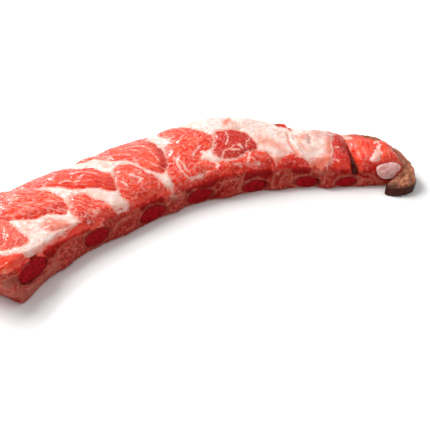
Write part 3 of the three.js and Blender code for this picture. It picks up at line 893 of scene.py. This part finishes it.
# The kinds of node that are used, and their common settings.
MATH, VECTOR = "ShaderNodeMath", "ShaderNodeVectorMath"
MIX, RANGE, BUMP = "ShaderNodeMix", "ShaderNodeMapRange", "ShaderNodeBump"
NOISE, CELLS, ATTRIBUTE = "ShaderNodeTexNoise", "ShaderNodeTexVoronoi", "ShaderNodeAttribute"
ADD, SUBTRACT, MULTIPLY = {"operation": "ADD"}, {"operation": "SUBTRACT"}, {"operation": "MULTIPLY"}
MAXIMUM, SIZE_OF, SCALE_BY = {"operation": "MAXIMUM"}, {"operation": "ABSOLUTE"}, {"operation": "SCALE"}
TIMES_PLUS = {"operation": "MULTIPLY_ADD"}  # the first value times the second, plus the third
COLOUR, SOFT = {"data_type": "RGBA"}, {"interpolation_type": "SMOOTHSTEP"}


def add(tree, kind, settings=None, *values, **named):
    """Adds a node with its settings, and fills its inputs in order, or by name, with values or links."""
    made = tree.nodes.new(kind)
    for name, value in (settings or {}).items():
        setattr(made, name, value)
    shown = [socket for socket in made.inputs if socket.enabled]
    pairs = list(zip(shown, values))
    for name, value in named.items():
        pairs.append((next(s for s in shown if s.name == name.replace("_", " ")), value))
    for socket, value in pairs:
        if isinstance(value, bpy.types.Node):
            value = next(s for s in value.outputs if s.enabled)
        if isinstance(value, bpy.types.NodeSocket):
            tree.links.new(value, socket)
        else:
            socket.default_value = value
    return made


def thread_tree(material):
    """Geometry Nodes that turn wires into thin uneven threads with a rounded section."""
    tree = bpy.data.node_groups.new("fascia threads", "GeometryNodeTree")
    face = tree.interface
    face.new_socket("Geometry", in_out="INPUT", socket_type="NodeSocketGeometry")
    for name, default in (("Radius", 0.3 * MM), ("Wander", 0.25 * MM), ("Spacing", 0.6 * MM)):
        face.new_socket(name, in_out="INPUT", socket_type="NodeSocketFloat").default_value = default
    face.new_socket("Geometry", in_out="OUTPUT", socket_type="NodeSocketGeometry")
    given = tree.nodes.new("NodeGroupInput")
    curve = add(tree, "GeometryNodeMeshToCurve", None, given.outputs["Geometry"])
    even = add(tree, "GeometryNodeResampleCurve", {"mode": "LENGTH"}, curve, Length=given.outputs["Spacing"])
    # The threads wander and swell over about 3 mm.
    wave = add(tree, NOISE, None, add(tree, "GeometryNodeInputPosition"), 0.32 / MM, 1.0)
    centred = add(tree, VECTOR, SUBTRACT, wave.outputs["Color"], (0.5, 0.5, 0.5))
    sway = add(tree, VECTOR, SCALE_BY, centred, given.outputs["Wander"])
    moved = add(tree, "GeometryNodeSetPosition", None, even, Offset=sway)
    # Thin at both ends of a thread, and uneven along it.
    along = add(tree, "GeometryNodeSplineParameter").outputs["Factor"]
    from_middle = add(tree, MATH, SIZE_OF, add(tree, MATH, SUBTRACT, along, 0.5))
    taper = add(tree, RANGE, SOFT, from_middle, 0.5, 0.36, 0.25, 1.0)
    thick = add(tree, MATH, MULTIPLY, add(tree, MATH, MULTIPLY, wave.outputs["Fac"], 2.0), taper)
    section = add(tree, "GeometryNodeCurvePrimitiveCircle", {"mode": "RADIUS"}, 8,
                  Radius=given.outputs["Radius"])
    tube = add(tree, "GeometryNodeCurveToMesh", None, moved, section, thick, Fill_Caps=True)
    solid = add(tree, "GeometryNodeRealizeInstances", None, tube)
    painted = add(tree, "GeometryNodeSetMaterial", None, solid, Material=material)
    shown = tree.nodes.new("NodeGroupOutput")
    tree.links.new(painted.outputs[0], shown.inputs[0])
    return tree


def grown_threads(name, paths, tree, radius, wander):
    """One piece of threads along the paths, with their radius and how far they wander in mm."""
    piece = new_piece(name, wire_mesh(name, paths))
    grow = piece.modifiers.new("threads", "NODES")
    grow.node_group = tree
    sizes = {"Radius": radius * MM, "Wander": wander * MM}
    for item in tree.interface.items_tree:
        if item.in_out == "INPUT" and item.name in sizes:
            grow[item.identifier] = sizes[item.name]
    settle(piece)
    for polygon in piece.data.polygons:
        polygon.use_smooth = True
    return piece


# Materials. Each pattern is worked out in millimetres on Object coordinates or stored values.

def new_material(name):
    material = bpy.data.materials.new(name)
    material.use_nodes = True
    material.node_tree.nodes.clear()
    return material, material.node_tree


def finish_material(tree, **inputs):
    shader = add(tree, "ShaderNodeBsdfPrincipled", None, **inputs)
    add(tree, "ShaderNodeOutputMaterial", None, Surface=shader)


MEAT_VALUES = ("lean_edge", "streaks", "net", "depth", "fat_line", "blush", "sawn", "rim", "underside",
               "flank", "crevice", "under_rib", "edge_band", "face_lean", "face_brown", "face_pale",
               "face_line", "dried", "painted_shade")

# Patterns in the meat, as lumps for each mm, and their detail: a mottle of 2 mm, clouds of 9 mm, a
# drift of 4 mm that makes edges wander, and clusters of marbling 12 mm across.
EVEN_PATTERNS = {"mottle": (0.55, 3.0), "clouds": (0.11, 3.0), "drift": (0.25, 2.0), "cluster": (0.085, 2.0)}
# Patterns drawn out along the fibres, as lumps for each mm along them, across them and upward, and
# their detail and harshness: bundles 6 by 1.2 mm, fibres 3 by 0.5 mm, dashes of fat 6 by 1.3 mm,
# bends 6 by 1.8 mm that the veins follow, and ripples of 12 by 2.5 mm in the wet film.
DRAWN_PATTERNS = {"bundles": ((0.17, 0.80, 0.35), 2.0, 0.5), "fibres": ((0.35, 2.2, 1.0), 2.0, 0.5),
                  "dashes": ((0.17, 0.75, 0.5), 2.0, 0.5), "bend": ((0.16, 0.55, 0.5), 3.0, 0.6),
                  "ripples": ((0.08, 0.4, 0.3), 1.5, 0.5)}


def raw_meat_material():
    """Raw lean in cream fat: red muscle with drawn-out marbling, sawn faces, flank skin, membrane."""
    material, tree = new_material("raw lean and fat")
    value = {name: add(tree, ATTRIBUTE, {"attribute_name": name}).outputs["Fac"] for name in MEAT_VALUES}
    fibre = add(tree, ATTRIBUTE, {"attribute_name": "fibre"}).outputs["Vector"]
    place = add(tree, "ShaderNodeTexCoord").outputs["Object"]
    mm = add(tree, VECTOR, SCALE_BY, place, 1 / MM)
    pattern = {}
    for name, (density, detail) in EVEN_PATTERNS.items():
        pattern[name] = add(tree, NOISE, None, mm, density, detail).outputs["Fac"]
    for name, (density, detail, harshness) in DRAWN_PATTERNS.items():
        drawn_out = add(tree, VECTOR, MULTIPLY, fibre, density)
        pattern[name] = add(tree, NOISE, None, drawn_out, 1.0, detail, harshness).outputs["Fac"]
    mottle, clouds, bundles, fibres = (pattern[name] for name in ("mottle", "clouds", "bundles", "fibres"))
    drift, centred_bundles, centred_mottle, centred_clouds = (
        add(tree, MATH, SUBTRACT, source, 0.5) for source in (pattern["drift"], bundles, mottle, clouds))

    # Fat lies outside the muscles' edges, which fray along the fibres, and along drawn lines.
    edge = add(tree, MATH, TIMES_PLUS, centred_bundles, 3.4, value["lean_edge"])
    edge = add(tree, MATH, TIMES_PLUS, centred_mottle, 3.0, edge)
    seam = add(tree, RANGE, SOFT, edge, -0.7, 0.8)
    line = add(tree, MATH, TIMES_PLUS, centred_mottle, 2.0, value["fat_line"])
    line = add(tree, MATH, TIMES_PLUS, drift, 1.6, line)
    line = add(tree, RANGE, SOFT, line, 0.5, -0.3)
    # Streaks of fat between bundles, strongest where the muscle is coarse.
    mixed = add(tree, MIX, {"data_type": "FLOAT"}, 0.35, bundles, fibres)
    mixed = add(tree, MATH, TIMES_PLUS, value["streaks"], 0.15, mixed)
    mixed = add(tree, MATH, TIMES_PLUS, centred_clouds, 0.25, mixed)
    streak = add(tree, RANGE, SOFT, mixed, 0.66, 0.82, 0.0, 0.75)
    dashes = add(tree, MATH, TIMES_PLUS, value["streaks"], 0.09, pattern["dashes"])
    streak = add(tree, MATH, MAXIMUM, streak, add(tree, RANGE, SOFT, dashes, 0.63, 0.73, 0.0, 0.7))
    clustered = add(tree, RANGE, SOFT, pattern["cluster"], 0.4, 0.58, 0.25, 1.0)
    streak = add(tree, MATH, MULTIPLY, streak, clustered)
    # Veins of fat under half a millimetre wide, along the fibres, that come and go over 2 mm.
    ridge = add(tree, MATH, SIZE_OF, add(tree, MATH, SUBTRACT, pattern["bend"], 0.5))
    veins = add(tree, RANGE, SOFT, ridge, 0.07, 0.015)
    veins = add(tree, MATH, MULTIPLY, veins, add(tree, RANGE, SOFT, mottle, 0.42, 0.62))
    veins = add(tree, MATH, MULTIPLY, veins, add(tree, RANGE, None, value["streaks"], 0.0, 1.0, 0.05, 0.8))
    # A fine net of marbling with cells about 2.4 mm wide, bent by up to 3 mm.
    bent = add(tree, VECTOR, SCALE_BY, add(tree, NOISE, None, mm, 0.25, 3.0).outputs["Color"], 3.0)
    bent = add(tree, VECTOR, ADD, mm, bent)
    cells = add(tree, CELLS, {"feature": "DISTANCE_TO_EDGE"}, bent, 0.42).outputs["Distance"]
    net = add(tree, RANGE, SOFT, cells, add(tree, MATH, MULTIPLY, value["net"], 0.15), 0.0, 0.0, 0.75)
    net = add(tree, MATH, MULTIPLY, net, add(tree, RANGE, SOFT, mottle, 0.40, 0.60))
    fat = seam
    for more in (line, streak, net, veins):
        fat = add(tree, MATH, MAXIMUM, fat, more)

    # Bright red lean, darker in the deep muscles, paler in the faint ones, deep red in clouds, and with
    # painted shade beside some seams.
    lean = add(tree, MIX, COLOUR, add(tree, RANGE, SOFT, bundles, 0.35, 0.65),
               hex_colour("#E62812"), hex_colour("#F85634"))
    painted_shade = add(tree, MATH, MULTIPLY, value["painted_shade"], add(tree, RANGE, SOFT, bundles, 0.2, 0.6, 1.0, 0.6))
    for mask, code in ((add(tree, RANGE, SOFT, value["depth"], 0.3, 1.2, 0.0, 0.85), "#B4140E"),
                       (add(tree, RANGE, SOFT, value["depth"], 0.2, -0.6, 0.0, 0.7), "#EE9C88"),
                       (add(tree, RANGE, SOFT, clouds, 0.35, 0.6, 0.4, 0.0), "#CE1A10"),
                       (painted_shade, "#A80C08")):
        lean = add(tree, MIX, COLOUR, mask, lean, hex_colour(code))

    # Cream fat with a pink mottle. Pinkish orange threads under half a millimetre wide run forward
    # through it, at 60 degrees, and it is flushed beside lean.
    cream = add(tree, MIX, COLOUR, add(tree, RANGE, SOFT, clouds, 0.35, 0.65),
                hex_colour("#F5E2DB"), hex_colour("#F0CABC"))
    combed_fat = add(tree, "ShaderNodeMapping", None, mm, Rotation=(0, 0, math.radians(60)),
                     Scale=(0.07, 0.30, 0.2))
    combed_fat = add(tree, NOISE, None, combed_fat, 1.0, 3.0, 0.55).outputs["Fac"]
    strands = add(tree, MATH, SIZE_OF, add(tree, MATH, SUBTRACT, combed_fat, 0.5))
    strands = add(tree, MATH, MULTIPLY, add(tree, RANGE, SOFT, strands, 0.035, 0.005, 0.0, 0.6),
                  add(tree, RANGE, SOFT, mottle, 0.4, 0.6))
    near_lean = add(tree, RANGE, SOFT, value["lean_edge"], 2.4, 0.2, 0.0, 0.45)
    flush = add(tree, MATH, MAXIMUM, value["blush"], near_lean)
    for mask, code in ((add(tree, RANGE, SOFT, mottle, 0.45, 0.7, 0.0, 0.5), "#EEB4A2"),
                       (strands, "#E88468"), (flush, "#EC6F50")):
        cream = add(tree, MIX, COLOUR, mask, cream, hex_colour(code))

    # The top is lean and fat, with a band of bright lean along its front edge and dried brown skin.
    top = add(tree, MIX, COLOUR, fat, lean, cream)
    band = value["edge_band"]
    for share in (add(tree, RANGE, SOFT, clouds, 0.38, 0.56, 0.0, 0.85),
                  add(tree, RANGE, SOFT, value["lean_edge"], 2.5, 0.5)):
        band = add(tree, MATH, MULTIPLY, band, share)
    dried = add(tree, MATH, MULTIPLY, value["dried"], add(tree, RANGE, SOFT, mottle, 0.3, 0.55, 0.5, 1.0))
    for mask, code in ((band, "#E83A20"), (dried, "#935244")):
        top = add(tree, MIX, COLOUR, mask, top, hex_colour(code))

    # The sawn faces: red brown muscle, partly its own colour and partly painted darker as shade that falls on
    # the faces, in a faint web, with brown, pale and dark lean places, fascia across them, pale skin and a
    # dark red rim round the bones, and bright lean along the top edge.
    face = add(tree, MIX, COLOUR, add(tree, RANGE, SOFT, mottle, 0.35, 0.65),
               hex_colour("#94221A"), hex_colour("#BA4638"))
    web = add(tree, MATH, MULTIPLY, add(tree, RANGE, SOFT, cells, 0.14, 0.0, 0.0, 0.4),
              add(tree, RANGE, SOFT, mottle, 0.45, 0.65))
    layers = [(add(tree, RANGE, SOFT, clouds, 0.4, 0.6, 0.0, 0.6), "#9A140E"), (web, "#C88C78")]
    wobble = add(tree, MATH, TIMES_PLUS, centred_mottle, 1.5, add(tree, MATH, MULTIPLY, drift, 6.0))
    for name, soft, strength, code in (("face_brown", 0.8, 0.8, "#86382A"),
                                       ("face_pale", 1.8, 0.5, "#B4685A"),
                                       ("face_lean", 1.1, 0.95, "#8E0508")):
        reach = add(tree, MATH, ADD, value[name], wobble)
        layers.append((add(tree, RANGE, SOFT, reach, soft, -soft, 0.0, strength), code))
    frayed = add(tree, MATH, TIMES_PLUS, centred_mottle, 1.6, value["face_line"])
    rim = add(tree, MATH, TIMES_PLUS, drift, 3.0, value["rim"])
    skin = add(tree, MATH, MULTIPLY, add(tree, RANGE, SOFT, rim, 1.9, 0.9),
               add(tree, RANGE, SOFT, clouds, 0.42, 0.6, 0.0, 0.4))
    glow = add(tree, MATH, MULTIPLY, value["edge_band"], add(tree, RANGE, SOFT, mottle, 0.3, 0.6, 0.4, 0.95))
    layers += [(add(tree, RANGE, SOFT, frayed, 0.5, -0.2, 0.0, 0.32), "#C87860"), (skin, "#C88068"),
               (add(tree, RANGE, SOFT, rim, 1.8, -0.2, 0.0, 0.8), "#780A0E"), (glow, "#CC1A10")]
    for mask, code in layers:
        face = add(tree, MIX, COLOUR, mask, face, hex_colour(code))

    # The underside is membrane over the ribs.
    below = add(tree, MIX, COLOUR, add(tree, RANGE, SOFT, value["under_rib"], 2.5, -1.5),
                hex_colour("#A8544A"), hex_colour("#CFA093"))
    below = add(tree, MIX, COLOUR, add(tree, RANGE, SOFT, mottle, 0.35, 0.7), below, hex_colour("#C98B7E"))
    # The flap is brown dried flank, with painted shade beside the knuckle and below 8 mm.
    flank = add(tree, MIX, COLOUR, add(tree, RANGE, SOFT, mottle, 0.3, 0.7),
                hex_colour("#96503C"), hex_colour("#C88868"))
    height = add(tree, "ShaderNodeSeparateXYZ", None, mm).outputs["Z"]
    for mask, code in ((add(tree, RANGE, SOFT, value["flank"], 4.0, 0.5, 0.0, 0.6), "#5A2218"),
                       (add(tree, RANGE, SOFT, height, 8.0, 4.6, 0.0, 0.95), "#36100C")):
        flank = add(tree, MIX, COLOUR, mask, flank, hex_colour(code))

    sawn = add(tree, RANGE, SOFT, add(tree, MATH, TIMES_PLUS, drift, 1.6, value["sawn"]), 0.25, 0.75)
    flank_edge = add(tree, MATH, TIMES_PLUS, centred_mottle, 3.0, value["flank"])
    on_flank = add(tree, RANGE, SOFT, flank_edge, -0.2, 0.8)
    colour = top
    for mask, over in ((sawn, face), (value["underside"], below), (on_flank, flank)):
        colour = add(tree, MIX, COLOUR, mask, colour, over)
    # Painted shade in the crevice: deep red, and nearly black at its bottom.
    for far, near, strength, code in ((3.6, 1.2, 0.5, "#8A120C"), (1.8, 0.3, 0.9, "#420605")):
        mask = add(tree, RANGE, SOFT, value["crevice"], far, near, 0.0, strength)
        colour = add(tree, MIX, COLOUR, mask, colour, hex_colour(code))

    # Fine relief of a third of a millimetre: fibres, mottle, fat that stands up, and its threads.
    rise = add(tree, MATH, TIMES_PLUS, mottle, 0.7, add(tree, MATH, MULTIPLY, fibres, 0.6))
    rise = add(tree, MATH, TIMES_PLUS, fat, 0.3, rise)
    rise = add(tree, MATH, TIMES_PLUS, combed_fat, add(tree, MATH, MULTIPLY, seam, 1.5), rise)
    bump = add(tree, BUMP, None, Strength=0.35, Distance=0.35 * MM, Height=rise)
    # The wet film over it all has ripples 3 mm wide, drawn out along the fibres on lean, which break
    # its glints up. It is thin on the sawn faces and the flank.
    ripple = add(tree, NOISE, None, mm, 0.33, 1.0, 0.5).outputs["Fac"]
    on_lean = add(tree, RANGE, SOFT, value["lean_edge"], 1.0, -1.0, 0.0, 0.75)
    ripple = add(tree, MIX, {"data_type": "FLOAT"}, on_lean, ripple, pattern["ripples"])
    film = add(tree, BUMP, None, Strength=1.0, Distance=1.8 * MM, Height=ripple)
    wet = add(tree, RANGE, None, add(tree, MATH, MAXIMUM, sawn, on_flank), 0.0, 1.0, 0.7, 0.15)
    finish_material(tree, Base_Color=colour, Roughness=add(tree, RANGE, SOFT, mottle, 0.3, 0.7, 0.35, 0.55),
                    Normal=bump, Coat_Normal=film, IOR=1.4, Subsurface_Weight=0.15,
                    Subsurface_Radius=(1.0, 0.35, 0.2), Subsurface_Scale=1.2 * MM,
                    Specular_IOR_Level=0.06, Coat_Weight=wet, Coat_Roughness=0.1, Coat_IOR=1.36)
    return material


def sawn_bone_material():
    """Sawn rib bone: dark red spongy marrow inside a thin brown wall, and dark red skin outside."""
    material, tree = new_material("sawn rib bone")
    oval = add(tree, ATTRIBUTE, {"attribute_name": "oval"}).outputs["Fac"]
    end = add(tree, ATTRIBUTE, {"attribute_name": "sawn_end"}).outputs["Fac"]
    place = add(tree, "ShaderNodeTexCoord").outputs["Object"]
    mm = add(tree, VECTOR, SCALE_BY, place, 1 / MM)
    # Pores of spongy bone about 0.9 mm apart, drawn a little coarser than they are.
    sponge = add(tree, CELLS, None, mm, 1.1).outputs["Distance"]
    cloud = add(tree, NOISE, None, mm, 0.35, 3.0).outputs["Fac"]
    pores = add(tree, RANGE, SOFT, sponge, 0.2, 0.75)
    marrow = add(tree, MIX, COLOUR, pores, hex_colour("#6E050B"), hex_colour("#9C0E18"))
    clouded = add(tree, RANGE, SOFT, cloud, 0.4, 0.75, 0.0, 0.8)
    marrow = add(tree, MIX, COLOUR, clouded, marrow, hex_colour("#AE121E"))
    wall = add(tree, RANGE, SOFT, add(tree, MATH, TIMES_PLUS, cloud, 0.3, oval), 1.02, 1.2, 0.0, 0.4)
    colour = add(tree, MIX, COLOUR, wall, marrow, hex_colour("#8E2A20"))
    colour = add(tree, MIX, COLOUR, end, hex_colour("#82180F"), colour)
    bump = add(tree, BUMP, None, Strength=0.3, Distance=0.3 * MM, Height=sponge)
    finish_material(tree, Base_Color=colour, Roughness=0.5, Normal=bump, IOR=1.4, Subsurface_Weight=0.08,
                    Subsurface_Radius=(1.0, 0.3, 0.2), Subsurface_Scale=1.0 * MM, Specular_IOR_Level=0.04)
    return material


def moist_tissue(name, pale, flushed, roughness, size):
    """A moist pale tissue with soft clouds of two colours about size mm wide."""
    material, tree = new_material(name)
    place = add(tree, "ShaderNodeTexCoord").outputs["Object"]
    mm = add(tree, VECTOR, SCALE_BY, place, 1 / MM)
    cloud = add(tree, NOISE, None, mm, 1 / size, 3.0).outputs["Fac"]
    share = add(tree, RANGE, SOFT, cloud, 0.35, 0.7)
    colour = add(tree, MIX, COLOUR, share, hex_colour(pale), hex_colour(flushed))
    bump = add(tree, BUMP, None, Strength=0.35, Distance=0.3 * MM, Height=cloud)
    finish_material(tree, Base_Color=colour, Roughness=roughness, Normal=bump, IOR=1.4, Subsurface_Weight=0.3,
                    Subsurface_Radius=(1.0, 0.5, 0.4), Subsurface_Scale=2.0 * MM, Coat_Weight=0.2,
                    Coat_Roughness=0.2)
    return material


raw_meat = raw_meat_material()
sawn_bone = sawn_bone_material()
# Hyaline cartilage, cut through: pale pink, smooth and slightly clear.
cartilage = moist_tissue("cut cartilage", "#FACCC6", "#DE9892", 0.3, 2.5)
# Fascia: thin tough threads, a little browner than the meat they lie on.
fascia = moist_tissue("fascia", "#A8523E", "#86301F", 0.35, 3.0)

threads = []
for face in faces.values():
    for path, half in FACE_LINES[:-PAINTED_LINES]:
        laid = laid_on_meat(evenly(face.in_strip(path), 1.0), 0.2)
        if len(laid) > 3:
            threads.append(laid)
thread_piece = grown_threads("fascia_threads", threads, thread_tree(fascia), 0.2, 1.6)

for piece, material in [(meat, raw_meat), (gristle, cartilage)] + [(b, sawn_bone) for b in bones]:
    piece.data.materials.clear()
    piece.data.materials.append(material)
    for polygon in piece.data.polygons:
        polygon.use_smooth = True

for piece, node, slot in ([(meat, "meat", "raw_meat"), (gristle, "cartilage", "cartilage"),
                           (thread_piece, None, "raw_meat")]
                          + [(b, n, "cut_bone") for b, n in zip(bones, RIBS)]):
    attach(piece, "root")
    if node:
        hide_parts(node)


# The floor, the lights and the camera.

def floor():
    mesh = bpy.data.meshes.new("floor")
    half = 3.0
    mesh.from_pydata([(-half, -half, 0), (half, -half, 0), (half, half, 0), (-half, half, 0)], [],
                     [(0, 1, 2, 3)])
    piece = new_piece("studio_floor", mesh)
    material, tree = new_material("matt white floor")
    finish_material(tree, Base_Color=hex_colour("#FAFAF9"), Roughness=0.9)
    mesh.materials.append(material)


def soft_light(name, place, size, power):
    """A round lamp, size metres across, that shines on the middle of the part."""
    light = bpy.data.lights.new(name, "AREA")
    light.shape = "DISK"
    light.size = size
    light.energy = power
    lamp = bpy.data.objects.new(name, light)
    lamp.location = place
    lamp.rotation_euler = (Vector((0, 0, 0.01)) - Vector(place)).to_track_quat("-Z", "Y").to_euler()
    bpy.context.scene.collection.objects.link(lamp)


floor()
soft_light("key from behind on the left", (-0.45, 0.60, 0.95), 0.8, 13.0)
soft_light("glint from behind", (0.02, 0.90, 0.70), 0.25, 5.2)

# An even white sky fills the shade.
world = bpy.data.worlds.new("studio")
world.use_nodes = True
world.node_tree.nodes["Background"].inputs["Color"].default_value = (1, 1, 1, 1)
world.node_tree.nodes["Background"].inputs["Strength"].default_value = 0.54
bpy.context.scene.world = world
bpy.context.scene.view_settings.view_transform = "Standard"

camera_data = bpy.data.cameras.new("camera")
camera_data.sensor_width = SENSOR_MM
camera_data.lens = FOCAL_PIXELS / FRAME_PIXELS * SENSOR_MM
camera = bpy.data.objects.new("camera", camera_data)
camera.location = Vector(to_part(CAMERA_STAND))
heading = Vector(CAMERA_HEADING).normalized()
gaze = Vector((heading.x * math.cos(CAMERA_DROP), heading.y * math.cos(CAMERA_DROP), -math.sin(CAMERA_DROP)))
camera.rotation_euler = gaze.to_track_quat("-Z", "Y").to_euler()
bpy.context.scene.collection.objects.link(camera)
bpy.context.scene.camera = camera
